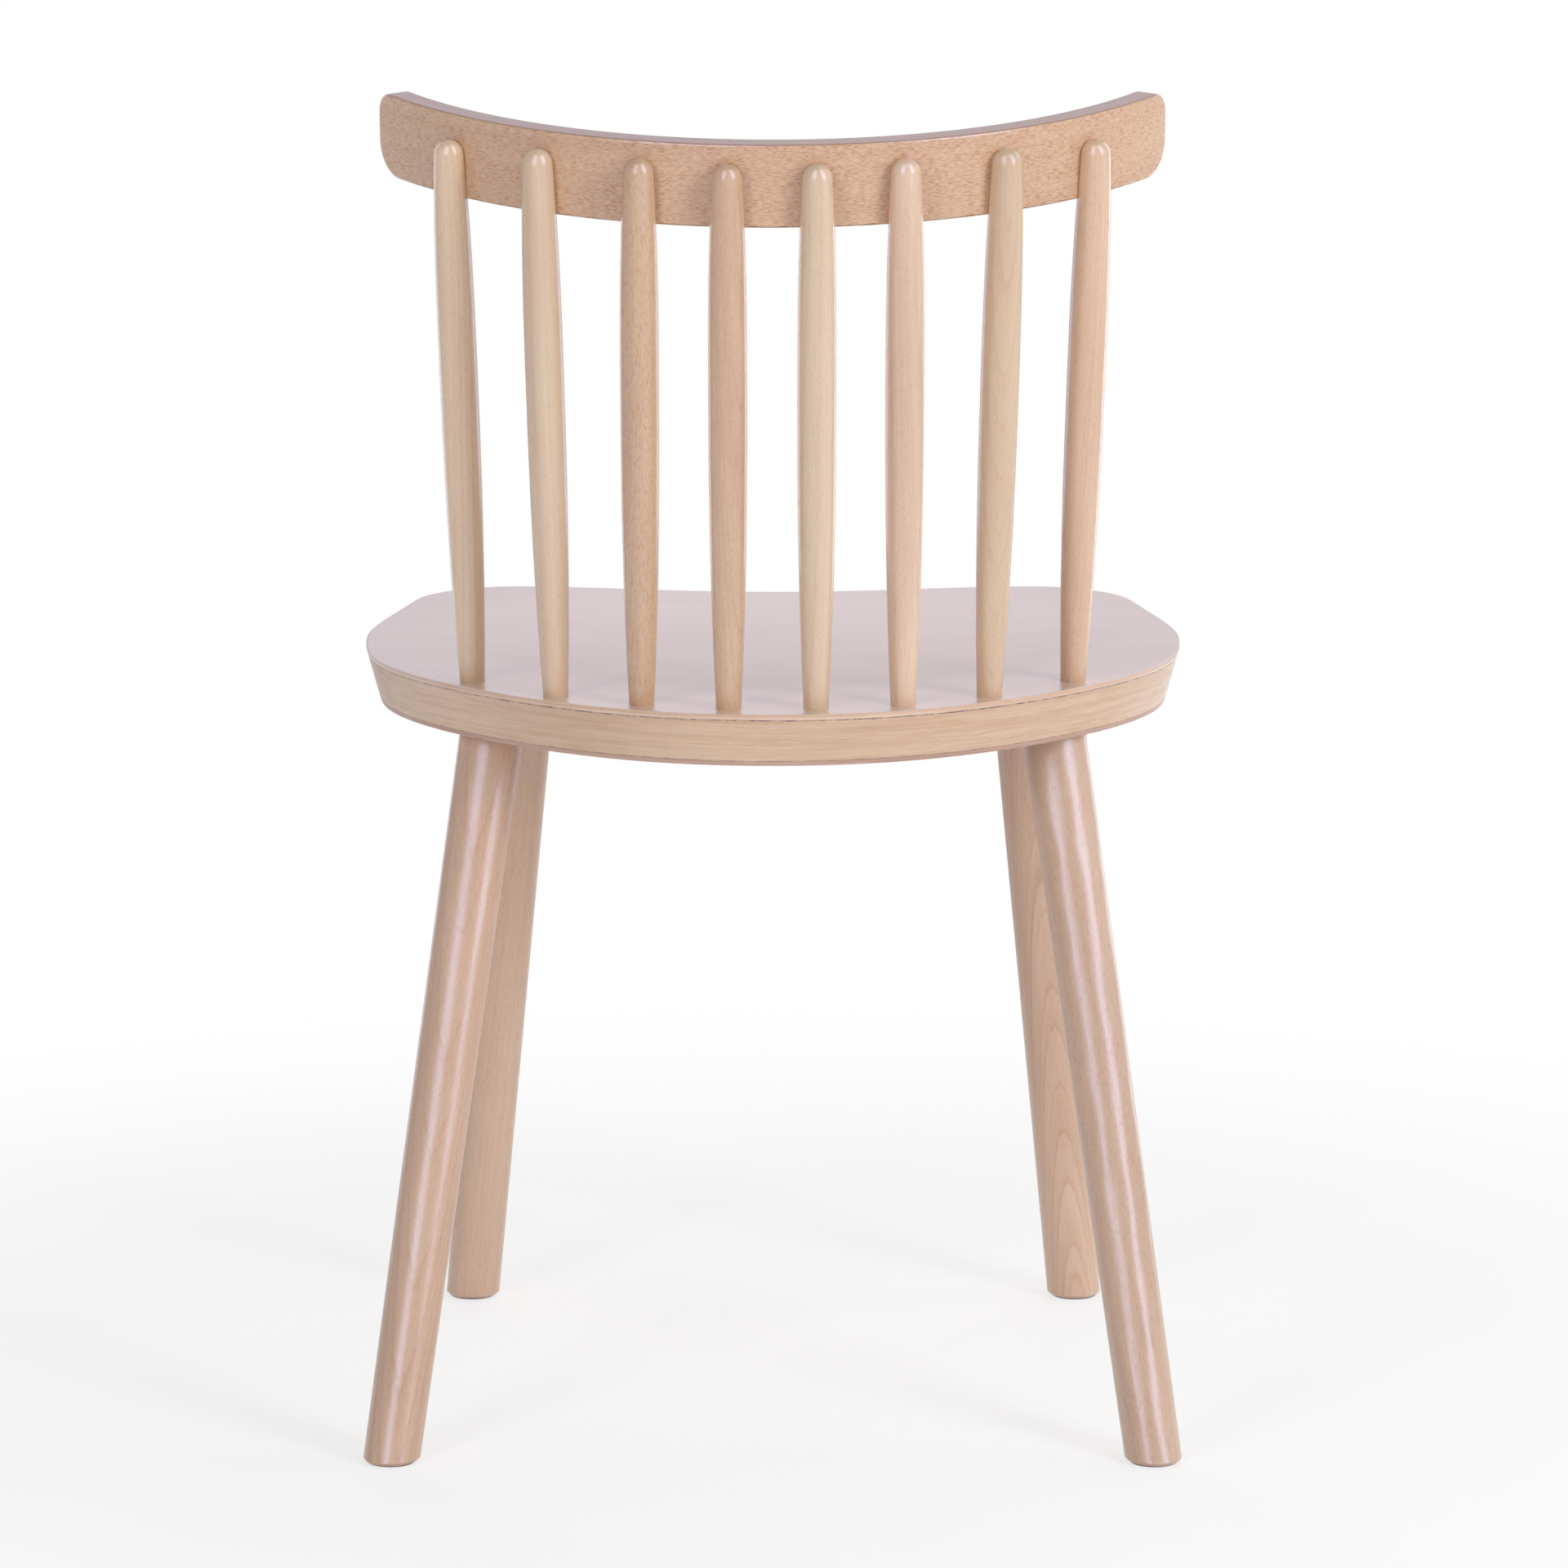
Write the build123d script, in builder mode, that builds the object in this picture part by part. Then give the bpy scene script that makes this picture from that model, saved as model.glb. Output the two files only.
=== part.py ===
"""A wooden side chair: a dished, veneered seat on four splayed turned legs, and a back of eight
turned spindles let into a curved crest rail.

Millimetres. The chair faces -Y, +Z is up, the floor is Z = 0, and left is the sitter's left, +X.
"""

import math
import os

from build123d import *

# Seat panel: its plan, its layers, and the dish for the sitter
seat_width = 503.0
seat_depth = 453.0
seat_height = 450.0
seat_back_y = 212.2
seat_thickness = 32.0
top_ply_thickness = 3.5
bottom_ply_thickness = 3.0
edge_band_thickness = 4.0
edge_lean_in = 9.0
front_corner_radius = 68.0
seat_top_rounding = 1.4
seat_bottom_rounding = 1.0
dish_radius = 235.0
dish_depth = 9.0
dish_center_from_back = 290.0
dish_turn_share = 0.75
level_share = 0.7

# One flank of the seat's plan from the middle of its back: shares of the half width outwards
# and of the depth forwards. It runs straight on to the corner, which is then rounded.
flank_shares = ((0.0, 0.0), (0.458, 0.074), (0.712, 0.191), (0.888, 0.32), (0.974, 0.444),
                (0.995, 0.552), (0.957, 0.748))
corner_share = 0.855

# Crest rail: an arc that leans back, its ends cut square and rounded at the corners
crest_width = 465.0
crest_bow = 130.8
crest_behind_seat = 14.0
crest_middle_height = 762.0
crest_lean = 7.7
crest_height = 49.2
crest_thickness = 15.0
crest_upper_corner_radius = 12.0
crest_lower_corner_radius = 21.0
crest_edge_rounding = 1.5

# Spindles: where they stand in the seat, and their turned radii from the foot to the tip
spindle_count = 8
spindle_row_from_side = 71.95
spindle_row_bow = 93.1
spindle_from_back = 22.0
spindle_foot_radius = 7.5
spindle_lower_radius = 10.3
spindle_belly_radius = 11.35
spindle_rail_radius = 10.1
spindle_tip_radius = 8.7
spindle_tenon_depth = 18.0
spindle_axis_behind_rail = 6.0
lower_share = 0.25
belly_share = 0.61
rail_share = 0.885

# Tips of the spindles from the middle pair outwards: shares of the rail's half width across,
# and of its height down from its top edge
tip_across_shares = (0.112, 0.332, 0.586, 0.813)
tip_drop_shares = (0.199, 0.178, 0.193, 0.283)

# Dowels that pin the crest rail to the spindles
dowel_radius = 3.0
dowel_behind_axis = 3.0
dowel_from_rail_face = 4.0
dowel_chamfer = 0.6

# Legs: straight turned tapers, each with a tenon in the seat
leg_top_radius = 19.1
leg_foot_radius = 16.8
leg_tenon_radius = 12.5
leg_tenon_depth = 18.0
leg_tenon_chamfer = 1.0
leg_foot_chamfer = 1.8
rear_foot_from_side = 24.9
rear_foot_behind_seat = 4.0
rear_leg_top_from_side = 83.0
rear_leg_top_from_back = 132.0
front_foot_from_side = 58.8
front_foot_from_front = 61.0
front_leg_top_from_side = 97.0
front_leg_top_from_front = 96.0

# Glides let into the feet, and the nail through each
glide_radius = 14.2
glide_thickness = 3.0
glide_proud = 1.0
glide_rounding = 0.6
nail_shank_radius = 1.1
nail_head_radius = 3.0
nail_head_thickness = 0.8
nail_length = 16.0
nail_recess = 1.4
nail_point = 0.7

# Glue gaps, the room past a blind end, and the overrun of every cut
glue_gap = 0.1
blind_gap = 0.5
overrun = 10.0

seat_side_x = seat_width / 2
seat_front_y = seat_back_y - seat_depth
seat_underside = seat_height - seat_thickness
core_underside = seat_underside + bottom_ply_thickness
dish_floor = seat_height - dish_depth - top_ply_thickness
dish_center = Vector(0, seat_back_y - dish_center_from_back, seat_height)
dish_axis = Axis(dish_center, (0, 0, 1))
past_seat = seat_width + seat_depth

rail_frame = Plane(
    origin=(0, seat_back_y + crest_behind_seat, crest_middle_height),
    x_dir=(1, 0, 0),
    z_dir=(0, math.sin(math.radians(crest_lean)), math.cos(math.radians(crest_lean))),
)


def arc_radius(half_width, bow):
    """The radius of an arc by half its chord and how far it bows out from that chord."""
    return (half_width**2 + bow**2) / (2 * bow)


spindle_row_half = seat_side_x - spindle_row_from_side
spindle_pitch = 2 * spindle_row_half / (spindle_count - 1)
spindle_arc_radius = arc_radius(spindle_row_half, spindle_row_bow)
crest_arc_radius = arc_radius(crest_width / 2, crest_bow)
rail_arc_center = Vector(0, -crest_arc_radius)


def seat_plan(height, inset=0):
    """The seat's plan at a height as a face, drawn in by inset. The edge leans in downwards."""
    drawn_in = inset + edge_lean_in * (seat_height - height) / seat_thickness
    half_width = seat_side_x - drawn_in
    back = seat_back_y - drawn_in
    front = seat_front_y + drawn_in
    flank_points = [
        Vector(across * half_width, back + along * (front - back)) for across, along in flank_shares
    ]
    left_corner = Vector(corner_share * half_width, front)
    right_corner = Vector(-corner_share * half_width, front)
    with BuildSketch(Plane.XY.offset(height)) as plan:
        with BuildLine():
            Spline(flank_points, tangents=[(1, 0), left_corner - flank_points[-1]])
            Line(flank_points[-1], left_corner)
            mirror(about=Plane.YZ)
            Line(left_corner, right_corner)
        make_face()
        fillet(plan.vertices().sort_by(Axis.Y)[:2], front_corner_radius - drawn_in)
    return plan.sketch.face()


def dish_curve(drop):
    """Draws the dished surface's half section, from the middle outwards, lowered by drop."""
    middle = Vector(0, -dish_depth - drop)
    rim = Vector(dish_radius, -drop)
    turn = middle + (rim - middle) * dish_turn_share
    hollow = TangentArc(middle, turn, tangent=(1, 0))
    TangentArc(turn, rim, tangent=hollow % 1)
    Line(rim, (past_seat, -drop))


def dish_section(top_drop, bottom_drop, dished_bottom):
    """The half section of a round body between the dished surface and what lies below it."""
    section_plane = Plane(origin=dish_center, x_dir=(1, 0, 0), z_dir=(0, -1, 0))
    with BuildSketch(section_plane) as section:
        with BuildLine():
            dish_curve(top_drop)
            if dished_bottom:
                dish_curve(bottom_drop)
                Line((0, -dish_depth - top_drop), (0, -dish_depth - bottom_drop))
                Line((past_seat, -top_drop), (past_seat, -bottom_drop))
            else:
                Polyline(
                    (0, -dish_depth - top_drop),
                    (0, -bottom_drop),
                    (past_seat, -bottom_drop),
                    (past_seat, -top_drop),
                )
        make_face()
    return section.sketch.face()


def round_rim(shape, looks_up, radius):
    """Rounds the edge between the seat's flank and the face that looks up or down."""
    flat_faces = [face for face in shape.faces() if face.normal_at().Z * looks_up > level_share]
    flank_faces = [face for face in shape.faces() if abs(face.normal_at().Z) < level_share]
    flank_edges = [edge for face in flank_faces for edge in face.edges()]
    rim = [
        edge for face in flat_faces for edge in face.edges()
        if any(edge.is_same(other) for other in flank_edges)
    ]
    fillet(rim, radius)


def bore(frame, radius, start, end):
    """Cuts a round hole along the frame's axis, between two distances from its origin."""
    with BuildSketch(frame.offset(start)) as mouth:
        Circle(radius)
    extrude(mouth.sketch, amount=end - start, mode=Mode.SUBTRACT)


def section_plane_of(frame):
    """A plane through the frame's axis, in which up the page runs along that axis."""
    return Plane(origin=frame.origin, x_dir=frame.x_dir, z_dir=-frame.y_dir)


def spindle_foot(across):
    """Where a spindle's axis meets the seat's top, on an arc that follows the seat's back."""
    arc_drop = spindle_arc_radius - math.sqrt(spindle_arc_radius**2 - across**2)
    return Vector(across, seat_back_y - spindle_from_back - arc_drop, seat_height)


def spindle_tip(across, drop):
    """Where a spindle's axis ends, behind the rail's arc and below the rail's top edge."""
    axis_arc_radius = crest_arc_radius + spindle_axis_behind_rail
    arc_y = math.sqrt(axis_arc_radius**2 - across**2) - crest_arc_radius
    return rail_frame.from_local_coords(Vector(across, arc_y, crest_height / 2 - drop))


def spindle_section(frame, length, grow=0):
    """Half of a spindle's turned outline with its tenon, on the frame's section plane."""
    shoulder = Vector(spindle_foot_radius + grow, 0)
    lower = Vector(spindle_lower_radius + grow, lower_share * length)
    belly = Vector(spindle_belly_radius + grow, belly_share * length)
    rail = Vector(spindle_rail_radius + grow, rail_share * length)
    dome = Vector(spindle_tip_radius + grow, length - spindle_tip_radius)
    with BuildSketch(section_plane_of(frame)) as section:
        with BuildLine():
            Polyline((0, -spindle_tenon_depth), (shoulder.X, -spindle_tenon_depth), shoulder)
            Spline(shoulder, lower, belly, rail, dome)
            RadiusArc(dome, (0, length + grow), -spindle_tip_radius - grow)
            Line((0, length + grow), (0, -spindle_tenon_depth))
        make_face()
    return section.sketch.face()


def dowel_frame(foot, tip):
    """The frame at a dowel's rear end: in the spindle, looking at the middle of the rail's arc."""
    local_foot = rail_frame.to_local_coords(foot)
    local_tip = rail_frame.to_local_coords(tip)
    along = local_foot.Z / (local_foot.Z - local_tip.Z)
    on_axis = local_foot + (local_tip - local_foot) * along
    inwards = (rail_arc_center - on_axis).normalized()
    rear_end = on_axis - inwards * dowel_behind_axis
    start = rail_frame.from_local_coords(rear_end)
    ahead = rail_frame.from_local_coords(rear_end + inwards) - start
    return Plane(origin=start, z_dir=ahead)


def dowel_length(frame):
    """From a dowel's rear end to its blind end inside the rail."""
    rear_end = rail_frame.to_local_coords(frame.origin)
    arc_distance = (rear_end - rail_arc_center).length
    return arc_distance - (crest_arc_radius - crest_thickness + dowel_from_rail_face)


def save(part, name):
    """Labels a finished piece and writes it to its own file."""
    part.label = name
    export_step(part, f"parts/{name}.step")


os.makedirs("parts", exist_ok=True)

# Spindles from the sitter's left to the right, as (foot, tip) pairs
spindle_ends = []
for index in range(spindle_count):
    steps_from_middle = (spindle_count - 1) / 2 - index
    side = math.copysign(1, steps_from_middle)
    pair = int(abs(steps_from_middle)) % len(tip_across_shares)
    tip_across = side * tip_across_shares[pair] * crest_width / 2
    foot_point = spindle_foot(steps_from_middle * spindle_pitch)
    tip_point = spindle_tip(tip_across, tip_drop_shares[pair] * crest_height)
    spindle_ends.append((foot_point, tip_point))

spindle_frames = [Plane(origin=foot, z_dir=tip - foot) for foot, tip in spindle_ends]
spindle_lengths = [(tip - foot).length for foot, tip in spindle_ends]
dowel_frames = [dowel_frame(foot, tip) for foot, tip in spindle_ends]
dowel_lengths = [dowel_length(frame) for frame in dowel_frames]

# Legs by name, as (foot, top) pairs on the legs' axes
leg_ends = {}
for side_name, side in (("left", 1), ("right", -1)):
    leg_ends[f"rear_{side_name}"] = (
        Vector(side * (seat_side_x - rear_foot_from_side), seat_back_y + rear_foot_behind_seat, 0),
        Vector(
            side * (seat_side_x - rear_leg_top_from_side),
            seat_back_y - rear_leg_top_from_back,
            seat_underside,
        ),
    )
    leg_ends[f"front_{side_name}"] = (
        Vector(side * (seat_side_x - front_foot_from_side), seat_front_y + front_foot_from_front, 0),
        Vector(
            side * (seat_side_x - front_leg_top_from_side),
            seat_front_y + front_leg_top_from_front,
            seat_underside,
        ),
    )
leg_frames = {name: Plane(origin=top, z_dir=top - foot) for name, (foot, top) in leg_ends.items()}
leg_feet = [(foot.X, foot.Y) for foot, top in leg_ends.values()]


def bore_for_spindles():
    """Cuts the blind holes that the spindles' tenons are glued into."""
    for foot, tip in spindle_ends:
        down = Plane(origin=foot, z_dir=foot - tip)
        bore(down, spindle_foot_radius + glue_gap, -overrun, spindle_tenon_depth + blind_gap)


def bore_for_legs():
    """Cuts the blind holes that the legs' tenons are glued into, from the underside."""
    for frame in leg_frames.values():
        bore(frame, leg_tenon_radius + glue_gap, -overrun, leg_tenon_depth + blind_gap)


# Top ply: pressed to the dish, its rim rounded
with BuildPart() as seat_top_ply:
    loft([seat_plan(seat_height), seat_plan(dish_floor)], ruled=True)
    revolve(dish_section(0, top_ply_thickness, True), axis=dish_axis, mode=Mode.INTERSECT)
    round_rim(seat_top_ply.part, 1, seat_top_rounding)
    bore_for_spindles()
save(seat_top_ply.part, "seat_top_ply")

# Edge band: wrapped around the core, between the two plies
with BuildPart() as seat_edge_band:
    loft([seat_plan(seat_height), seat_plan(core_underside)], ruled=True)
    loft(
        [seat_plan(seat_height, edge_band_thickness), seat_plan(core_underside, edge_band_thickness)],
        ruled=True,
        mode=Mode.SUBTRACT,
    )
    revolve(
        dish_section(top_ply_thickness, seat_thickness - bottom_ply_thickness, False),
        axis=dish_axis,
        mode=Mode.INTERSECT,
    )
save(seat_edge_band.part, "seat_edge_band")

# Core: dished on top, bored for the spindles and the legs
with BuildPart() as seat_core:
    core_inset = edge_band_thickness + glue_gap
    loft([seat_plan(seat_height, core_inset), seat_plan(core_underside, core_inset)], ruled=True)
    revolve(
        dish_section(top_ply_thickness + glue_gap, seat_thickness - bottom_ply_thickness, False),
        axis=dish_axis,
        mode=Mode.INTERSECT,
    )
    bore_for_spindles()
    bore_for_legs()
save(seat_core.part, "seat_core")

# Bottom ply: flat, its lower edge eased
with BuildPart() as seat_bottom_ply:
    loft([seat_plan(core_underside), seat_plan(seat_underside)], ruled=True)
    round_rim(seat_bottom_ply.part, -1, seat_bottom_rounding)
    bore_for_legs()
save(seat_bottom_ply.part, "seat_bottom_ply")

# Crest rail: a bent bar with square-cut, round-cornered ends, notched and drilled at the back
with BuildPart() as crest_rail:
    half_angle = math.degrees(math.asin(crest_width / 2 / crest_arc_radius))
    with BuildSketch(rail_frame.offset(-crest_height / 2)):
        with BuildLine():
            start, sweep_angle = 90 - half_angle, 2 * half_angle
            rear = CenterArc(rail_arc_center, crest_arc_radius, start, sweep_angle)
            front_radius = crest_arc_radius - crest_thickness
            front = CenterArc(rail_arc_center, front_radius, start, sweep_angle)
            Line(rear @ 0, front @ 0)
            Line(rear @ 1, front @ 1)
        make_face()
    extrude(amount=crest_height)
    rail_up = Axis(rail_frame.origin, rail_frame.z_dir)
    end_edges = crest_rail.edges().filter_by(GeomType.LINE).group_by(rail_up)
    fillet(end_edges[-1], crest_upper_corner_radius)
    end_edges = crest_rail.edges().filter_by(GeomType.LINE).group_by(rail_up)
    fillet(end_edges[0], crest_lower_corner_radius)
    bent_faces = crest_rail.faces().filter_by(GeomType.CYLINDER).sort_by(SortBy.AREA)[-2:]
    fillet(bent_faces.edges(), crest_edge_rounding)
    for frame, length in zip(spindle_frames, spindle_lengths):
        notch = spindle_section(frame, length, glue_gap)
        revolve(notch, axis=Axis(frame.origin, frame.z_dir), mode=Mode.SUBTRACT)
    for frame, length in zip(dowel_frames, dowel_lengths):
        bore(frame, dowel_radius + glue_gap, -blind_gap, length + blind_gap)
save(crest_rail.part, "crest_rail")

# Spindles: turned, with a tenon below and a domed tip, each drilled for its dowel
for index in range(spindle_count):
    frame = spindle_frames[index]
    with BuildPart() as spindle:
        outline = spindle_section(frame, spindle_lengths[index])
        revolve(outline, axis=Axis(frame.origin, frame.z_dir))
        dowel_end = dowel_lengths[index] + blind_gap
        bore(dowel_frames[index], dowel_radius + glue_gap, -blind_gap, dowel_end)
    save(spindle.part, f"spindle_{index + 1}")

# Dowels: eight loose pins in one group
with BuildPart() as crest_dowels:
    for frame, length in zip(dowel_frames, dowel_lengths):
        with BuildSketch(frame) as dowel_end:
            Circle(dowel_radius)
        extrude(dowel_end.sketch, amount=length)
    dowel_ends = crest_dowels.faces().filter_by(GeomType.PLANE)
    chamfer(dowel_ends.edges(), dowel_chamfer)
save(crest_dowels.part, "crest_dowels")

# Legs: a turned taper cut level at both ends, a tenon on top, a recess for the glide below
for place, frame in leg_frames.items():
    foot, top = leg_ends[place]
    with BuildPart() as leg:
        length = (top - foot).length
        growth = leg_top_radius - leg_foot_radius
        past_end = leg_top_radius / length
        with BuildSketch(section_plane_of(frame)) as taper:
            Polygon(
                (0, leg_top_radius),
                (leg_top_radius + growth * past_end, leg_top_radius),
                (leg_foot_radius - growth * past_end, -length - leg_top_radius),
                (0, -length - leg_top_radius),
                align=None,
            )
        revolve(taper.sketch.face(), axis=Axis(frame.origin, frame.z_dir))
        split(bisect_by=Plane.XY.offset(seat_underside), keep=Keep.BOTTOM)
        split(bisect_by=Plane.XY.offset(glide_proud), keep=Keep.TOP)
        chamfer(leg.faces().sort_by(Axis.Z)[0].edges(), leg_foot_chamfer)
        with BuildSketch(frame.offset(-leg_tenon_radius)) as tenon:
            Circle(leg_tenon_radius)
        extrude(tenon.sketch, amount=leg_tenon_radius + leg_tenon_depth)
        chamfer(leg.faces().sort_by(Axis.Z)[-1].edges(), leg_tenon_chamfer)
        foot_frame = Plane(origin=foot, z_dir=(0, 0, 1))
        bore(foot_frame, glide_radius + glue_gap, -overrun, glide_thickness)
        nail_tip = nail_recess + nail_length + blind_gap
        bore(foot_frame, nail_shank_radius + glue_gap, -overrun, nail_tip)
    save(leg.part, f"leg_{place}")

# Glides: low discs, recessed below for the nail's head
for place, (foot, top) in leg_ends.items():
    foot_frame = Plane(origin=foot, z_dir=(0, 0, 1))
    with BuildPart() as glide:
        with BuildSketch(foot_frame) as disc:
            Circle(glide_radius)
        extrude(disc.sketch, amount=glide_thickness)
        fillet(glide.faces().sort_by(Axis.Z)[0].edges(), glide_rounding)
        bore(foot_frame, nail_head_radius + glue_gap, -overrun, nail_recess)
        bore(foot_frame, nail_shank_radius + glue_gap, -overrun, glide_thickness + overrun)
    save(glide.part, f"glide_{place}")

# Nails: one through each glide, four in one group
with BuildPart() as glide_nails:
    with BuildSketch(Plane.XY.offset(nail_recess - nail_head_thickness)):
        with Locations(*leg_feet):
            Circle(nail_head_radius)
    extrude(amount=nail_head_thickness)
    with BuildSketch(Plane.XY.offset(nail_recess)):
        with Locations(*leg_feet):
            Circle(nail_shank_radius)
    extrude(amount=nail_length)
    chamfer(glide_nails.faces().group_by(Axis.Z)[-1].edges(), nail_point)
save(glide_nails.part, "glide_nails")
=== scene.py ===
import math
from collections import namedtuple

import bpy
from mathutils import Matrix, Vector

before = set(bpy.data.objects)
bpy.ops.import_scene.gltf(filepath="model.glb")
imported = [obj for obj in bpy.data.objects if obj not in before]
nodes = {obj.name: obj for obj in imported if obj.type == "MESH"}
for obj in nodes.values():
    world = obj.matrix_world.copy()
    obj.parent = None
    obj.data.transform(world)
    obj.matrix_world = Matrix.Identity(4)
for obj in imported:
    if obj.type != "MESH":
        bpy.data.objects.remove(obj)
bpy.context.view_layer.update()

# The looks of a wooden side chair: lacquered beech, soft studio light, and the camera behind it.
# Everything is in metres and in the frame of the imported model, with the grain true to scale.

MM = 0.001

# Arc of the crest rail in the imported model, which the grain follows: the middle of its rear face,
# its chord, how deep it bows and how far it leans back
RAIL_MIDDLE = Vector((0, 226.2 * MM, 762 * MM))
RAIL_CHORD = 465 * MM
RAIL_BOW = 130.8 * MM
RAIL_LEAN = math.radians(7.7)
RAIL_RADIUS = (RAIL_CHORD**2 / 4 + RAIL_BOW**2) / (2 * RAIL_BOW)

# Patterns in plain beech: features per metre across the grain, into the wood and along the grain
DRIFT = (34, 34, 5.5)
BEND = (16, 16, 6)
FIBRE = (1500, 1500, 28)
FLECKS = (1900, 1900, 230)
PORES = (2800, 2800, 420)
LACQUER_WAVES = (75, 75, 26)

# Patterns in the rail: features per metre along it, up it and into it
RAIL_RIPPLE = (300, 160, 160)
RAIL_RAYS = (240, 1250, 1250)
RAIL_RAY_STRENGTH = (70, 110, 110)

# Patterns round the seat's edge: features per metre to the side, to the rear and upwards
LONG_STREAKS = (9, 9, 420)
SHORT_STREAKS = (75, 75, 1500)
EDGE_PATCHES = (14, 14, 60)
GLUE_DASHES = (160, 160, 1)
GLUE_WAVES = (60, 60, 1)

# Patterns in the plastic, the steel and the floor: features per metre on the three axes
PLASTIC_GRAIN = (2600, 2600, 2600)
PLASTIC_CLOUDS = (180, 180, 180)
STEEL_SCRATCHES = (900, 5200, 900)
FLOOR_CLOUDS = (6, 6, 6)

Figure = namedtuple("Figure", "lines tones fibre drift flecks pores")
Gloss = namedtuple("Gloss", "roughness unevenness")
Look = namedtuple("Look", "light dark seed pith tilt ring_width line_share fleck_share")


def shown(red, green, blue):
    """A colour as it shows on a screen, 0 to 255, turned into linear light."""
    channels = []
    for value in (red / 255, green / 255, blue / 255):
        channels.append(value / 12.92 if value <= 0.04045 else ((value + 0.055) / 1.055) ** 2.4)
    return (*channels, 1.0)


class Nodes:
    """A node tree, with short ways to add nodes and to join them."""

    def __init__(self, tree):
        self.tree = tree

    def feed(self, socket, value):
        """Gives a socket a link if value is a socket, and a plain value otherwise."""
        if isinstance(value, bpy.types.NodeSocket):
            self.tree.links.new(value, socket)
        else:
            socket.default_value = value

    def add(self, kind, inputs, **settings):
        """Adds a node with its settings, and feeds its inputs by name or by number."""
        node = self.tree.nodes.new(kind)
        for key, value in settings.items():
            setattr(node, key, value)
        for key, value in inputs.items():
            self.feed(node.inputs[key], value)
        return node

    def calc(self, operation, *values):
        """A sum on numbers."""
        return self.add("ShaderNodeMath", dict(enumerate(values)), operation=operation).outputs[0]

    def scaled(self, vector, scales, offset=(0, 0, 0)):
        """The vector times scales, moved by offset."""
        inputs = {0: vector, 1: scales, 2: offset}
        return self.add("ShaderNodeVectorMath", inputs, operation="MULTIPLY_ADD").outputs[0]

    def length(self, vector):
        """How long a vector is."""
        return self.add("ShaderNodeVectorMath", {0: vector}, operation="LENGTH").outputs["Value"]

    def noise(self, vector, detail=2.0, roughness=0.5):
        """Noise in space."""
        inputs = {"Vector": vector, "Scale": 1.0, "Detail": detail, "Roughness": roughness}
        return self.add("ShaderNodeTexNoise", inputs).outputs[0]

    def noise_along(self, value, detail):
        """Noise on one number."""
        inputs = {"W": value, "Scale": 1.0, "Detail": detail}
        return self.add("ShaderNodeTexNoise", inputs, noise_dimensions="1D").outputs[0]

    def span(self, value, low, high, to_low=0.0, to_high=1.0, kind="SMOOTHSTEP"):
        """Turns low..high into to_low..to_high and no further, eased at both ends."""
        inputs = {0: value, 1: low, 2: high, 3: to_low, 4: to_high}
        return self.add("ShaderNodeMapRange", inputs, interpolation_type=kind).outputs[0]

    def mix(self, factor, first, second, blend_type="MIX"):
        """Mixes two colours."""
        inputs = {0: factor, 6: first, 7: second}
        node = self.add("ShaderNodeMix", inputs, data_type="RGBA", blend_type=blend_type)
        return node.outputs[2]

    def mix_shaders(self, factor, first, second):
        """Mixes two shaders."""
        return self.add("ShaderNodeMixShader", {0: factor, 1: first, 2: second}).outputs[0]

    def combine(self, x, y, z):
        """A vector from its parts."""
        return self.add("ShaderNodeCombineXYZ", {0: x, 1: y, 2: z}).outputs[0]

    def split(self, vector):
        """The parts of a vector."""
        return self.add("ShaderNodeSeparateXYZ", {0: vector}).outputs


class Surface(Nodes):
    """A material in the making."""

    def __init__(self, name):
        self.material = bpy.data.materials.new(name)
        self.material.use_nodes = True
        super().__init__(self.material.node_tree)
        self.shader = self.tree.nodes["Principled BSDF"]

    def place(self, location=(0, 0, 0), rotation=(0, 0, 0)):
        """Where a point is, in metres, seen from a frame at location turned by rotation."""
        coordinates = self.add("ShaderNodeTexCoord", {}).outputs["Object"]
        inputs = {"Vector": coordinates, "Location": location, "Rotation": rotation}
        return self.add("ShaderNodeMapping", inputs, vector_type="TEXTURE").outputs[0]

    def levelness(self):
        """How level the face lies, from 0 for upright to 1 for level."""
        normal = self.add("ShaderNodeNewGeometry", {}).outputs["True Normal"]
        return self.calc("ABSOLUTE", self.split(normal)[2])

    def turned_normal(self, across, depth, up, rotation):
        """The normal of a turned piece: its lean as modelled, its turn from the place."""
        normal = self.add("ShaderNodeNewGeometry", {}).outputs["Normal"]
        along = self.add("ShaderNodeVectorMath", {0: normal, 1: up}, operation="DOT_PRODUCT")
        lean = along.outputs["Value"]
        level = self.calc("SQRT", self.calc("SUBTRACT", 1.0, self.calc("MULTIPLY", lean, lean)))
        radius = self.combine(across, depth, 0)
        outward = self.add("ShaderNodeVectorMath", {0: radius}, operation="NORMALIZE").outputs[0]
        inputs = {0: outward, "Scale": level}
        outward = self.add("ShaderNodeVectorMath", inputs, operation="SCALE").outputs[0]
        out_x, out_y, _ = self.split(outward)
        inputs = {"Vector": self.combine(out_x, out_y, lean), "Rotation": rotation}
        return self.add("ShaderNodeMapping", inputs, vector_type="VECTOR").outputs[0]

    def finish(self, colour, roughness, height, relief, normal=None):
        """Joins the colour, the roughness and the relief, in metres, to the shader."""
        bump = self.add("ShaderNodeBump", {"Strength": 1.0, "Distance": relief, "Height": height})
        if normal is not None:
            self.feed(bump.inputs["Normal"], normal)
        self.feed(self.shader.inputs["Base Color"], colour)
        self.feed(self.shader.inputs["Roughness"], roughness)
        self.feed(self.shader.inputs["Normal"], bump.outputs[0])
        return self.material


def dress(name, material):
    """Gives a node its material in every slot."""
    for slot in nodes[name].material_slots:
        slot.material = material


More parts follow.
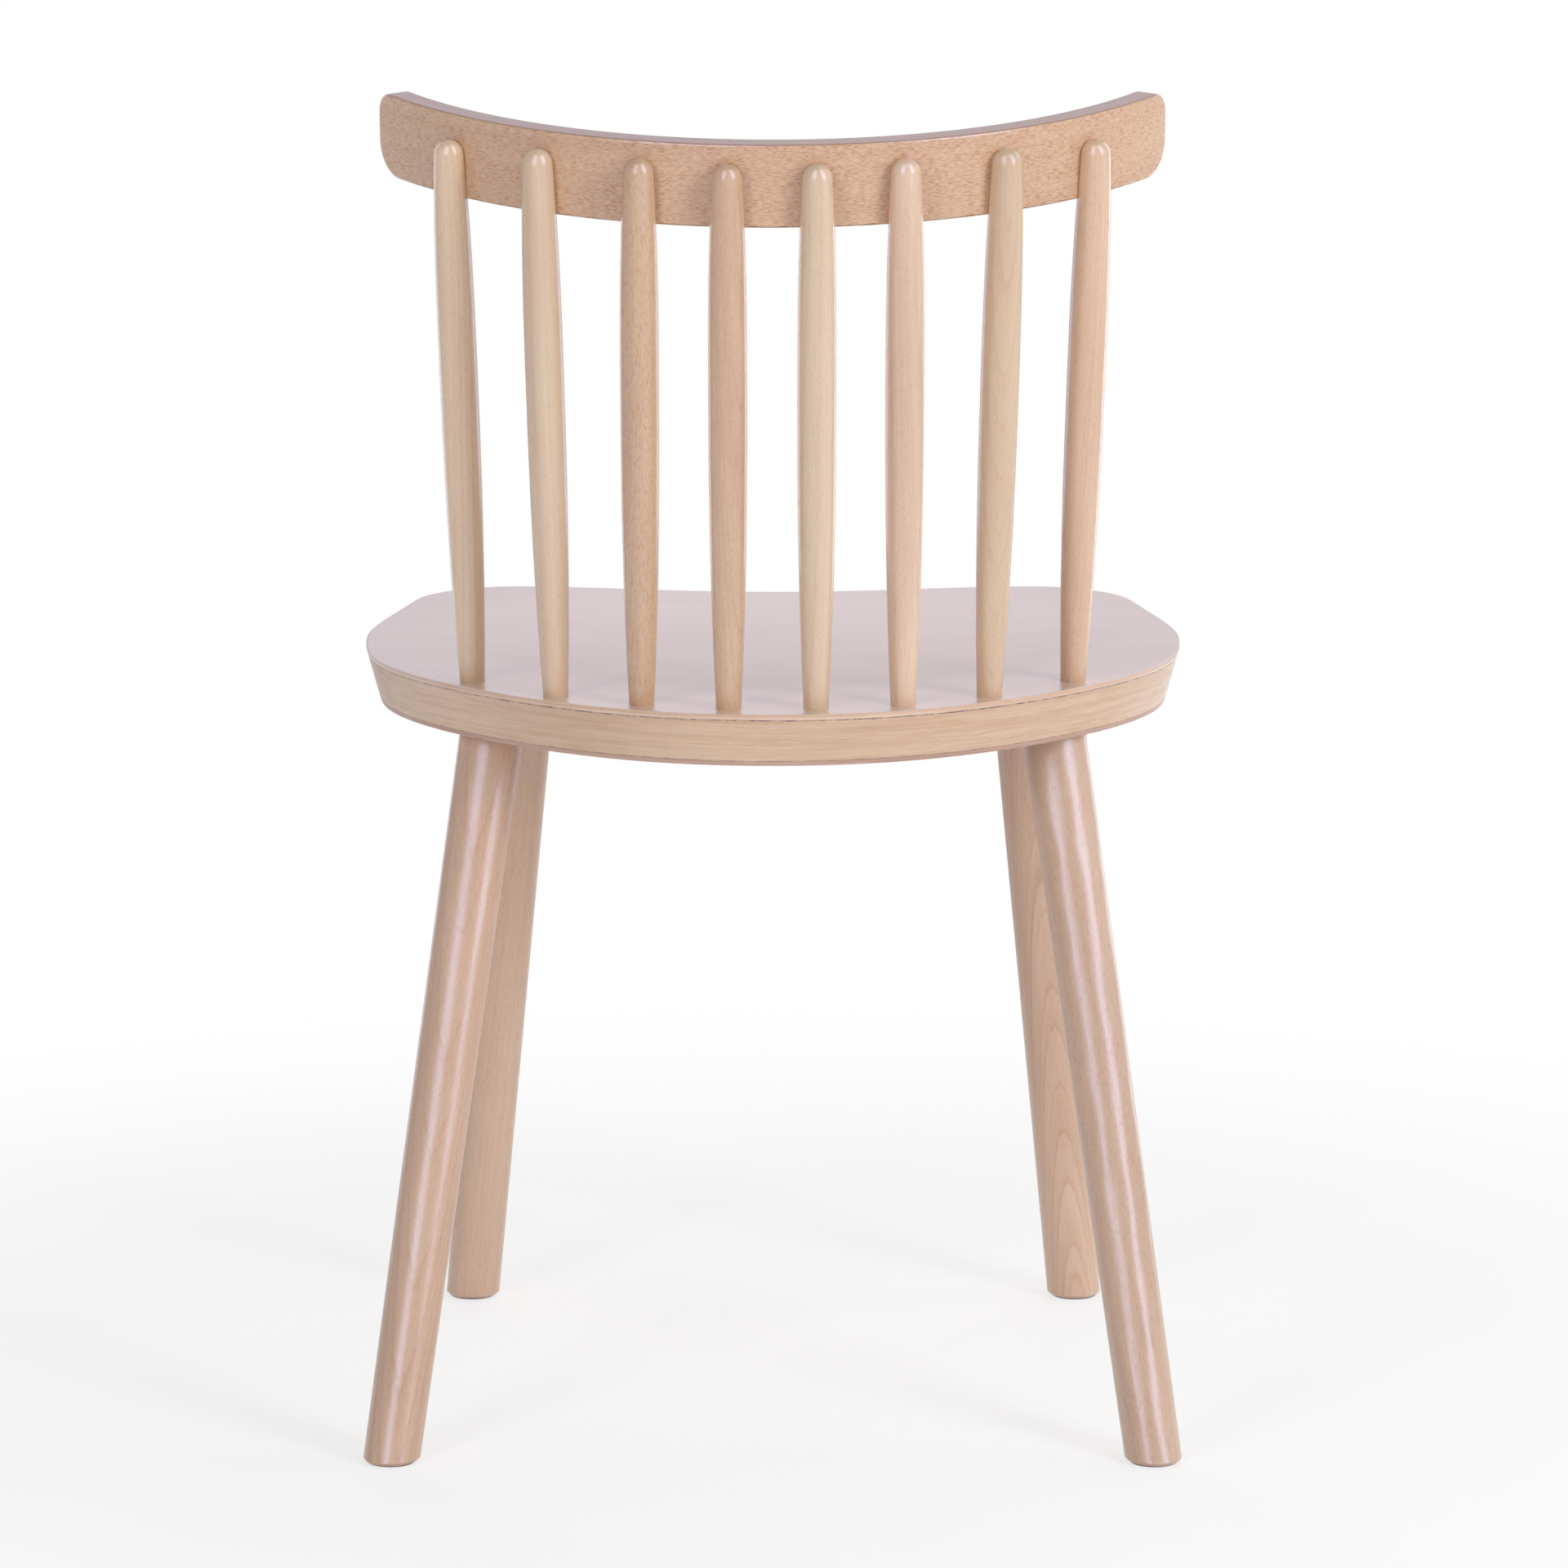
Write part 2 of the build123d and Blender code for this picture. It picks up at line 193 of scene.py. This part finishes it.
def levels(name):
    """The lowest and the highest level of a node."""
    heights = [vertex.co.z for vertex in nodes[name].data.vertices]
    return min(heights), max(heights)


def grain(surface, across, depth, along, seed, pith, tilt, ring_width):
    """The figure of plain beech in solid wood, from the place in its own grain, in metres.

    Gives six numbers from 0 to 1: the thin dark lines between growth rings, the tone from ring
    to ring, fine fibre, slow drift of tone, short ray flecks, and pores.
    """
    ring_wobble = 5 * MM
    uneven_spacing = 1.2
    slow_share = 0.35
    ring_end = 0.96
    local = surface.combine(across, depth, along)
    drift = surface.noise(surface.scaled(local, DRIFT, (seed, seed, seed)), 3.0)
    bend = surface.noise(surface.scaled(local, BEND, (0, seed, seed)), 0.5)
    wobble = surface.calc("MULTIPLY_ADD", bend, ring_wobble, -ring_wobble / 2)
    ring_x = surface.calc("ADD", surface.calc("ADD", across, pith[0]), wobble)
    ring_y = surface.calc("MULTIPLY_ADD", along, tilt, surface.calc("ADD", depth, pith[1]))
    distance = surface.length(surface.combine(ring_x, ring_y, 0))
    ring_count = surface.calc("DIVIDE", distance, ring_width)
    spacing = surface.noise_along(surface.calc("ADD", ring_count, seed), 1.0)
    phase = surface.calc("FRACT", surface.calc("MULTIPLY_ADD", spacing, uneven_spacing, ring_count))
    slow = surface.calc("MULTIPLY", surface.span(phase, 0.1, ring_end), slow_share)
    late = surface.calc("MULTIPLY_ADD", surface.span(phase, 0.78, 0.95), 1 - slow_share, slow)
    lines = surface.calc("MULTIPLY", late, surface.span(phase, 1.0, ring_end))
    tones = surface.noise_along(surface.calc("MULTIPLY", ring_count, 0.8), 1.5)
    fibre = surface.noise(surface.scaled(local, FIBRE, (0, seed, 0)), 3.0, 0.6)
    fleck_field = surface.noise(surface.scaled(local, FLECKS, (seed, 0, 0)), 1.0)
    flecks = surface.span(fleck_field, 0.5, 0.72)
    pore_field = surface.noise(surface.scaled(local, PORES, (0, 0, seed)), 0.0)
    pores = surface.span(pore_field, 0.66, 0.8)
    return Figure(lines, tones, fibre, drift, flecks, pores)


def beech_colour(surface, figure, light, dark, line_share=0.4, fleck_share=0.25, pore_share=0.2):
    """Mixes the figure into a colour between light and dark."""
    ring_weight, fibre_weight, drift_weight = 0.35, 0.45, 0.9
    fibre_tone = surface.calc("MULTIPLY", figure.fibre, fibre_weight)
    tone = surface.calc("MULTIPLY_ADD", figure.tones, ring_weight, fibre_tone)
    tone = surface.calc("MULTIPLY_ADD", figure.drift, drift_weight, tone)
    colour = surface.mix(surface.span(tone, 0.45, 1.25), light, dark)
    for mask, share, shade in (
        (figure.lines, line_share, shown(216, 184, 158)),
        (figure.flecks, fleck_share, shown(214, 178, 156)),
        (figure.pores, pore_share, shown(176, 140, 116)),
    ):
        darker = surface.mix(1.0, colour, shade, "MULTIPLY")
        colour = surface.mix(surface.calc("MULTIPLY", mask, share), colour, darker)
    return colour


def lacquer(
    surface, figure, colour, roughness=0.24, coat=0.0, relief=0.006 * MM, uneven=0.035,
    normal=None, waves=None,
):
    """A satin lacquer over the figure, the fibre just felt through it."""
    fibre_height, pore_depth = 0.5, -1.0
    wear = surface.span(figure.fibre, 0.3, 0.7, roughness - uneven, roughness + uneven)
    surface.shader.inputs["IOR"].default_value = 1.5
    surface.shader.inputs["Coat Weight"].default_value = coat
    surface.shader.inputs["Coat Roughness"].default_value = 0.22
    surface.shader.inputs["Specular IOR Level"].default_value = 0.8
    surface.shader.inputs["Specular Tint"].default_value = (0.42, 0.6, 1.0, 1.0)
    fibres = surface.calc("MULTIPLY", figure.fibre, fibre_height)
    height = surface.calc("MULTIPLY_ADD", figure.pores, pore_depth, fibres)
    if waves is not None:
        height = surface.calc("ADD", waves, height)
    return surface.finish(colour, wear, height, relief, normal)


def axis_of(name, slice_height):
    """A turned node's lower end and its own axes: across it, to its rear and along it.

    A thin slice at each end gives a middle, and the line through both middles is the axis. The
    slices are cut square to the axis found before, so each pass comes closer to the true one.
    """
    passes = 4
    points = [vertex.co for vertex in nodes[name].data.vertices]
    ends = [min(points, key=lambda point: point.z), max(points, key=lambda point: point.z)]
    for _ in range(passes):
        up = (ends[1] - ends[0]).normalized()
        side = Vector((0, 1, 0)).cross(up).normalized()
        axes = Matrix((side, up.cross(side), up))
        turned = [axes @ point for point in points]
        low = min(point.z for point in turned)
        high = max(point.z for point in turned)
        ends = []
        for level in (low + slice_height / 2, high - slice_height / 2):
            ring = [point for point in turned if abs(point.z - level) <= slice_height / 2]
            middle = []
            for i in (0, 1):
                middle.append((min(point[i] for point in ring) + max(point[i] for point in ring)) / 2)
            ends.append(axes.transposed() @ Vector((*middle, level)))
    return ends[0], axes


def turned_wood(name, slice_height, gloss, look):
    """A turned piece of solid wood: its grain runs along its own axis."""
    surface = Surface(name + "_beech")
    foot, axes = axis_of(name, slice_height)
    rotation = axes.transposed().to_euler()
    across, depth, along = surface.split(surface.place(foot, rotation))
    figure = grain(surface, across, depth, along, look.seed, look.pith, look.tilt, look.ring_width)
    colour = beech_colour(
        surface, figure, look.light, look.dark, look.line_share, look.fleck_share
    )
    normal = surface.turned_normal(across, depth, axes[2], rotation)
    local = surface.combine(across, depth, along)
    waves = surface.noise(surface.scaled(local, LACQUER_WAVES), 0.5)
    waves = surface.calc("MULTIPLY", waves, gloss.unevenness)
    return lacquer(surface, figure, colour, gloss.roughness, normal=normal, waves=waves)


# Spindles from the sitter's left: light and dark tones, seed, how far aside and behind the pith
# lay, how much it leans, the rings' width, and how plain their lines and the flecks are
spindle_looks = (
    (shown(231, 203, 172), shown(213, 181, 150), 1.3, (0.05, 0.02), 0.03, 3.2 * MM, 0.15, 0.2),
    (shown(224, 199, 170), shown(211, 179, 150), 7.9, (-0.09, 0.01), 0.02, 4.5 * MM, 0.1, 0.12),
    (shown(217, 185, 153), shown(200, 163, 130), 4.2, (0.06, 0.03), 0.03, 2.6 * MM, 0.15, 0.42),
    (shown(222, 190, 159), shown(202, 165, 134), 9.4, (-0.04, 0.03), 0.04, 2.4 * MM, 0.2, 0.2),
    (shown(226, 201, 173), shown(213, 184, 154), 3.7, (0.08, 0.04), 0.02, 5.0 * MM, 0.1, 0.15),
    (shown(233, 204, 177), shown(210, 176, 148), 6.1, (-0.05, 0.02), 0.03, 2.8 * MM, 0.15, 0.18),
    (shown(219, 192, 161), shown(205, 173, 144), 2.8, (-0.006, 0.03), 0.05, 1.8 * MM, 0.18, 0.12),
    (shown(229, 197, 168), shown(211, 175, 146), 8.6, (0.07, 0.03), 0.03, 3.4 * MM, 0.12, 0.2),
)
SPINDLE_GLOSS = Gloss(roughness=0.22, unevenness=12.0)
SPINDLE_SLICE = 6 * MM
for number, values in enumerate(spindle_looks, start=1):
    spindle_name = f"spindle_{number}"
    dress(spindle_name, turned_wood(spindle_name, SPINDLE_SLICE, SPINDLE_GLOSS, Look(*values)))

# Legs: the same values, and on the rear right one a lacquer that lies in stronger waves
leg_looks = {
    "leg_rear_left": (
        shown(213, 180, 153), shown(199, 163, 135), 5.5, (0.004, 0.045), 0.026, 2.6 * MM, 0.28, 0.2
    ),
    "leg_rear_right": (
        shown(213, 184, 159), shown(197, 164, 138), 1.9, (-0.05, 0.03), 0.03, 3.0 * MM, 0.12, 0.3
    ),
    "leg_front_left": (
        shown(219, 189, 160), shown(205, 170, 142), 8.2, (0.08, 0.03), 0.03, 4.0 * MM, 0.08, 0.22
    ),
    "leg_front_right": (
        shown(219, 188, 161), shown(200, 165, 137), 3.1, (-0.006, 0.062), -0.055, 1.7 * MM, 0.34, 0.12
    ),
}
LEG_GLOSS = Gloss(roughness=0.27, unevenness=26.0)
WAVY_GLOSS = Gloss(roughness=0.27, unevenness=220.0)
LEG_SLICE = 12 * MM
for leg_name, values in leg_looks.items():
    leg_gloss = WAVY_GLOSS if leg_name == "leg_rear_right" else LEG_GLOSS
    dress(leg_name, turned_wood(leg_name, LEG_SLICE, leg_gloss, Look(*values)))


# Crest rail: the grain follows its arc, full of short wavy flecks, and its level top is tinted darker
# and lilac as a painted reflection and shade
def rail_wood():
    ray_share = 0.75
    ray_shade = shown(216, 184, 156)
    painted_top_sheen = shown(204, 192, 186)
    surface = Surface("crest_rail_beech")
    toward_rear = Vector((0, math.cos(RAIL_LEAN), -math.sin(RAIL_LEAN)))
    center = RAIL_MIDDLE - RAIL_RADIUS * toward_rear
    x, y, z = surface.split(surface.place(center, (-RAIL_LEAN, 0, 0)))
    along = surface.calc("MULTIPLY", surface.calc("ARCTAN2", x, y), RAIL_RADIUS)
    depth = surface.length(surface.combine(x, y, 0))
    figure = grain(surface, z, depth, along, 2.2, (0.05, -0.2), 0.03, 6 * MM)
    colour = beech_colour(
        surface, figure, shown(217, 182, 150), shown(207, 170, 138), 0.1, 0.1, 0.1
    )
    upright = surface.span(surface.levelness(), 0.85, 0.45)
    rays = surface.calc("MULTIPLY", wavy_rays(surface, along, z, depth), upright)
    ray_colour = surface.mix(1.0, colour, ray_shade, "MULTIPLY")
    colour = surface.mix(surface.calc("MULTIPLY", rays, ray_share), colour, ray_colour)
    # The level top is darkened towards lilac: painted reflection and shade, not a colour of the wood
    sheen_top_colour = surface.mix(1.0, colour, painted_top_sheen, "MULTIPLY")
    colour = surface.mix(upright, sheen_top_colour, colour)
    return lacquer(surface, figure, colour)


def wavy_rays(surface, along, height, depth):
    """Flecks that run along the rail in small waves, stronger in some places than in others."""
    wave_height = 3.6 * MM
    local = surface.combine(along, height, depth)
    ripple = surface.noise(surface.scaled(local, RAIL_RIPPLE), 1.0)
    rippled = surface.calc("MULTIPLY_ADD", ripple, wave_height, height)
    ray_place = surface.combine(along, rippled, depth)
    field = surface.noise(surface.scaled(ray_place, RAIL_RAYS), 1.0)
    strength = surface.noise(surface.scaled(local, RAIL_RAY_STRENGTH), 2.0)
    rays = surface.span(field, 0.42, 0.66)
    return surface.calc("MULTIPLY", rays, surface.span(strength, 0.3, 0.7, 0.55, 1.0))


dress("crest_rail", rail_wood())


# Seat: veneer with its grain from side to side, over and under an edge band whose grain runs round
# it, with a line of glue along the band's top and its bottom
_, seat_top = levels("seat_top_ply")
glue_bottom, glue_top = levels("seat_edge_band")


def glue_line(surface, height, level, half_thickness, colour, seed, strength, on_edge=1.0):
    """Darkens a thin broken line round the seat's edge at one level."""
    wander = 0.5 * MM
    x, y, _ = surface.split(surface.place())
    dash_place = surface.combine(x, y, seed)
    dashes = surface.noise(surface.scaled(dash_place, GLUE_DASHES), 2.0, 0.7)
    waviness = surface.noise(surface.scaled(dash_place, GLUE_WAVES, (3, 3, 3)), 2.0)
    wandered = surface.calc("MULTIPLY_ADD", waviness, wander, height)
    wandered = surface.calc("SUBTRACT", wandered, wander / 2)
    off = surface.calc("ABSOLUTE", surface.calc("SUBTRACT", wandered, level))
    line = surface.span(off, half_thickness, half_thickness * 0.4)
    dark = surface.span(dashes, 0.35, 0.68, 0.25, 1.0)
    share = surface.calc("MULTIPLY", surface.calc("MULTIPLY", line, dark), strength)
    share = surface.calc("MULTIPLY", share, on_edge)
    return surface.mix(share, colour, shown(92, 66, 52))


def streaked_edge(surface, x, y, z, light, dark, seed):
    """Long thin streaks that follow the seat's edge all round."""
    short_weight, patch_weight = 0.6, 0.5
    place = surface.combine(x, y, z)
    long_streaks = surface.noise(surface.scaled(place, LONG_STREAKS, (seed, seed, seed)), 3.0, 0.6)
    short_streaks = surface.noise(surface.scaled(place, SHORT_STREAKS, (seed, 0, seed)), 2.0, 0.6)
    patches = surface.noise(surface.scaled(place, EDGE_PATCHES, (0, seed, 0)), 2.0)
    tone = surface.calc("MULTIPLY_ADD", short_streaks, short_weight, long_streaks)
    tone = surface.calc("MULTIPLY_ADD", patches, patch_weight, tone)
    return surface.mix(surface.span(tone, 0.75, 1.35), light, dark)


def veneer(name, light, dark, edge_light, edge_dark, seed):
    """A veneered ply: figure from side to side on its faces, long streaks round its edge."""
    surface = Surface(name + "_beech")
    x, y, z = surface.split(surface.place())
    figure = grain(surface, y, z, x, seed, (0.11, 0.02), 0.012, 5 * MM)
    face_colour = beech_colour(surface, figure, light, dark, 0.03, 0.05, 0.03)
    edge_colour = streaked_edge(surface, x, y, z, edge_light, edge_dark, seed)
    on_edge = surface.span(surface.levelness(), 0.8, 0.55)
    colour = surface.mix(on_edge, face_colour, edge_colour)
    return surface, figure, colour, z, on_edge


def top_ply_wood():
    """The seat's upper ply, its rim a little darker and more orange where it rounds over."""
    rim_level = seat_top - 1.1 * MM
    rim_share = 0.5
    surface, figure, colour, height, on_edge = veneer(
        "seat_top_ply", shown(218, 192, 172), shown(214, 186, 166),
        shown(226, 196, 172), shown(208, 172, 142), 4.4,
    )
    off_rim = surface.calc("ABSOLUTE", surface.calc("SUBTRACT", height, rim_level))
    rim = surface.calc("MULTIPLY", surface.span(off_rim, 0.5 * MM, 0.1 * MM), on_edge)
    colour = surface.mix(surface.calc("MULTIPLY", rim, rim_share), colour, shown(205, 152, 112))
    colour = glue_line(surface, height, glue_top, 0.55 * MM, colour, 3.0, 0.85, on_edge)
    return lacquer(
        surface, figure, colour, roughness=0.27, coat=0.6, relief=0.0002 * MM, uneven=0.002
    )


def bottom_ply_wood():
    """The seat's lower ply, flatter in gloss."""
    surface, figure, colour, height, on_edge = veneer(
        "seat_bottom_ply", shown(216, 182, 158), shown(198, 160, 135),
        shown(200, 164, 142), shown(178, 139, 118), 6.6,
    )
    colour = glue_line(surface, height, glue_bottom, 0.5 * MM, colour, 9.0, 0.5, on_edge)
    return lacquer(surface, figure, colour, roughness=0.42, coat=0.15)


def band_wood():
    """The band round the seat's edge, with a glue line above and below."""
    typical_radius = 250 * MM
    surface = Surface("seat_edge_band_beech")
    x, y, z = surface.split(surface.place())
    around = surface.calc("MULTIPLY", surface.calc("ARCTAN2", x, y), typical_radius)
    figure = grain(surface, z, 0.0, around, 5.1, (0.06, 0.02), 0.02, 4 * MM)
    colour = streaked_edge(surface, x, y, z, shown(220, 189, 159), shown(202, 165, 132), 1.7)
    colour = glue_line(surface, z, glue_top, 0.6 * MM, colour, 3.0, 0.9)
    colour = glue_line(surface, z, glue_bottom, 0.5 * MM, colour, 9.0, 0.6)
    return lacquer(surface, figure, colour)


def hidden_wood(name, seed):
    """Plain wood that nothing shows: the core of the seat and the dowels behind the rail."""
    surface = Surface(name + "_beech")
    x, y, z = surface.split(surface.place())
    figure = grain(surface, y, z, x, seed, (0.09, 0.05), 0.02, 4 * MM)
    colour = beech_colour(surface, figure, shown(199, 169, 143), shown(177, 143, 116))
    return lacquer(surface, figure, colour, roughness=0.6)


dress("seat_top_ply", top_ply_wood())
dress("seat_bottom_ply", bottom_ply_wood())
dress("seat_edge_band", band_wood())
dress("seat_core", hidden_wood("seat_core", 2.5))
dress("crest_dowels", hidden_wood("crest_dowels", 7.3))


# Glides: dark moulded plastic with a fine matt grain
def glide_plastic():
    surface = Surface("glide_plastic_dark")
    place = surface.place()
    speckle = surface.noise(surface.scaled(place, PLASTIC_GRAIN), 2.0)
    cloud = surface.noise(surface.scaled(place, PLASTIC_CLOUDS), 2.0)
    colour = surface.mix(surface.span(cloud, 0.3, 0.7), shown(66, 54, 48), shown(84, 70, 62))
    roughness = surface.span(speckle, 0.3, 0.7, 0.42, 0.58)
    return surface.finish(colour, roughness, speckle, 0.02 * MM)


# Nails: drawn steel, faintly scratched
def nail_steel():
    surface = Surface("nail_steel_drawn")
    scratches = surface.noise(surface.scaled(surface.place(), STEEL_SCRATCHES), 3.0, 0.65)
    tone = surface.span(scratches, 0.3, 0.7)
    colour = surface.mix(tone, shown(168, 166, 162), shown(196, 194, 190))
    surface.shader.inputs["Metallic"].default_value = 1.0
    roughness = surface.span(scratches, 0.3, 0.7, 0.28, 0.44)
    return surface.finish(colour, roughness, scratches, 0.01 * MM)


glide_material = glide_plastic()
for glide_name in ("rear_left", "rear_right", "front_left", "front_right"):
    dress("glide_" + glide_name, glide_material)
dress("glide_nails", nail_steel())


# Floor: pale, white further out, with the chair's soft shadow near it, and a grey strip that only
# reflections see, painted to shade them
def build_floor():
    reach = 60.0
    under_feet = -0.3 * MM
    corners = [(-reach, -reach), (reach, -reach), (reach, reach), (-reach, reach)]
    mesh = bpy.data.meshes.new("floor")
    mesh.from_pydata([(x, y, under_feet) for x, y in corners], [], [(0, 1, 2, 3)])
    floor = bpy.data.objects.new("floor", mesh)
    bpy.context.scene.collection.objects.link(floor)
    mesh.materials.append(floor_pale())


def floor_pale():
    """A pale floor that shows white away from the chair and in what mirrors it, but for a grey strip
    of painted reflection shade.
    """
    surface = Surface("floor_pale")
    place = surface.place()
    rays = surface.add("ShaderNodeLightPath", {}).outputs
    # Glossy rays see a grey strip beyond the chair's left: painted shade in its reflections
    dimmed = surface.calc("MULTIPLY", rays["Is Glossy Ray"], painted_reflection_shade(surface, place))
    cloud = surface.noise(surface.scaled(place, FLOOR_CLOUDS), 2.0)
    pale = surface.mix(cloud, (0.9, 0.9, 0.9, 1), (0.93, 0.93, 0.93, 1))
    colour = surface.mix(dimmed, pale, (0.45, 0.44, 0.47, 1))
    surface.feed(surface.shader.inputs["Base Color"], colour)
    surface.shader.inputs["Roughness"].default_value = 0.9
    surface.shader.inputs["Specular IOR Level"].default_value = 0.1
    distance = surface.length(surface.scaled(place, (1, 1, 0)))
    far = surface.span(distance, 0.4, 1.1, 0.68, 1.0)
    mirrored = surface.calc("SUBTRACT", rays["Is Glossy Ray"], dimmed)
    seen = surface.calc("MAXIMUM", rays["Is Camera Ray"], mirrored)
    white_share = surface.calc("MULTIPLY", far, seen)
    glow = surface.add("ShaderNodeEmission", {"Color": (1, 1, 1, 1), "Strength": 1.0}).outputs[0]
    shaded = surface.mix_shaders(white_share, surface.shader.outputs[0], glow)
    clear = surface.add("ShaderNodeBsdfTransparent", {}).outputs[0]
    from_below = surface.add("ShaderNodeNewGeometry", {}).outputs["Backfacing"]
    both = surface.mix_shaders(from_below, shaded, clear)
    surface.feed(surface.tree.nodes["Material Output"].inputs["Surface"], both)
    return surface.material


def painted_reflection_shade(surface, place):
    """Where the floor beyond the chair on its left shows grey to reflections alone: painted shade in
    what the chair mirrors, with no panel there.
    """
    x, y, _ = surface.split(place)
    strip = surface.calc("MULTIPLY", surface.span(x, 0.0, 0.3), surface.span(x, 1.4, 0.9, 0.0, 0.8))
    return surface.calc("MULTIPLY", strip, surface.span(y, -0.3, -1.2))


build_floor()


# World: white where it is seen, and a pale surround that dims towards the ceiling
def build_world():
    world = bpy.data.worlds.new("studio")
    bpy.context.scene.world = world
    world.use_nodes = True
    sky = Nodes(world.node_tree)
    rays = sky.add("ShaderNodeLightPath", {}).outputs
    seen = sky.calc("MAXIMUM", rays["Is Camera Ray"], rays["Is Transmission Ray"])
    direction = sky.add("ShaderNodeTexCoord", {}).outputs["Generated"]
    to_left, to_camera, height = sky.split(direction)

    # What lacquer mirrors: brighter above the horizon, dimmer overhead and behind the camera
    low_part = sky.span(height, 0.04, 0.34, 0.55, 1.32, kind="LINEAR")
    upper_part = sky.span(height, 0.36, 0.95, low_part, 0.35, kind="LINEAR")
    behind = sky.span(to_camera, -0.3, 0.5, 1.0, 0.45, kind="LINEAR")
    mirrored = sky.calc("MULTIPLY", upper_part, behind)

    # What lights the chair: dimmer overhead, and a little stronger from the right
    overhead = sky.span(height, 0.0, 1.0, 0.5, 0.22, kind="LINEAR")
    sideways = sky.span(to_left, -1.0, 1.0, 1.08, 0.84, kind="LINEAR")
    lighting = sky.calc("MULTIPLY", overhead, sideways)

    by_ray = {0: rays["Is Glossy Ray"], 2: lighting, 3: mirrored}
    strength = sky.add("ShaderNodeMix", by_ray).outputs[0]
    tint = sky.mix(rays["Is Glossy Ray"], (0.97, 0.985, 1.0, 1), (0.92, 0.89, 1.0, 1))
    soft = sky.add("ShaderNodeBackground", {0: tint, 1: strength}).outputs[0]
    white = sky.add("ShaderNodeBackground", {0: (1, 1, 1, 1), 1: 1.0}).outputs[0]
    both = sky.mix_shaders(seen, soft, white)
    sky.feed(sky.tree.nodes["World Output"].inputs["Surface"], both)


build_world()


# Lamps: broad soft ones that shade the chair, and strips that only show in the lacquer. The
# strips leave the seat's top out, where they would glare from the front.
strip_receivers = bpy.data.collections.new("strip_receivers")
strip_receivers.objects.link(nodes["seat_top_ply"])
strip_receivers.collection_objects[0].light_linking.link_state = "EXCLUDE"
lamps_aim = Vector((0, 0, seat_top))


def softbox(name, turn, rise, distance, size, power, colour, strip=False):
    """A lamp, turned to the right of the camera and raised above level, in degrees."""
    lamp_data = bpy.data.lights.new(name, "AREA")
    lamp_data.shape = "RECTANGLE"
    lamp_data.size, lamp_data.size_y = size
    lamp_data.energy = power
    lamp_data.color = colour
    lamp = bpy.data.objects.new(name, lamp_data)
    bpy.context.scene.collection.objects.link(lamp)
    turn, rise = math.radians(turn), math.radians(rise)
    level = math.cos(rise)
    out = Vector((-math.sin(turn) * level, math.cos(turn) * level, math.sin(rise)))
    lamp.location = lamps_aim + out * distance
    lamp.rotation_euler = (-out).to_track_quat("-Z", "Y").to_euler()
    lamp.visible_camera = False
    lamp.visible_diffuse = not strip
    lamp.visible_glossy = strip
    if strip:
        lamp.light_linking.receiver_collection = strip_receivers


WHITE = (1.0, 1.0, 1.0)
COOL = (0.97, 0.98, 1.0)
WARM = (1.0, 0.99, 0.97)
SOFT_WARM = (1.0, 0.99, 0.98)
BLUISH = (0.88, 0.92, 1.0)
LILAC = (0.93, 0.9, 1.0)

softbox("left", -31, 22, 3.0, (0.85, 1.7), 25, COOL)
softbox("right", 44, 22, 3.0, (0.85, 1.7), 41, COOL)
softbox("side", 98, 18, 3.0, (1.4, 1.8), 17, WARM)
softbox("front", 155, 42, 2.3, (1.4, 1.2), 9, SOFT_WARM)
softbox("front_low", 190, 14, 3.0, (2.4, 1.4), 24, SOFT_WARM)
softbox("left_strip", -22, 36, 3.0, (1.35, 3.7), 68, WHITE, strip=True)
softbox("right_strip", 50, 36, 3.0, (1.3, 3.7), 81, WHITE, strip=True)
softbox("side_strip", 128, 14, 1.7, (0.4, 2.0), 8, BLUISH, strip=True)
softbox("left_side_strip", -134, 14, 1.7, (0.4, 2.0), 5, LILAC, strip=True)


# Camera: well behind the chair and above it, looking slightly down through a long lens
def build_camera():
    looking_down = math.radians(10.987)
    camera_data = bpy.data.cameras.new("camera")
    camera_data.sensor_width = 36.0
    camera_data.lens = 191.13
    camera_data.clip_end = 200.0
    camera = bpy.data.objects.new("camera", camera_data)
    bpy.context.scene.collection.objects.link(camera)
    camera.location = (-0.0068, 4.9972, 1.3381)
    camera.rotation_euler = (math.radians(90) - looking_down, 0, math.radians(180))
    bpy.context.scene.camera = camera
    bpy.context.scene.view_settings.view_transform = "Standard"


build_camera()
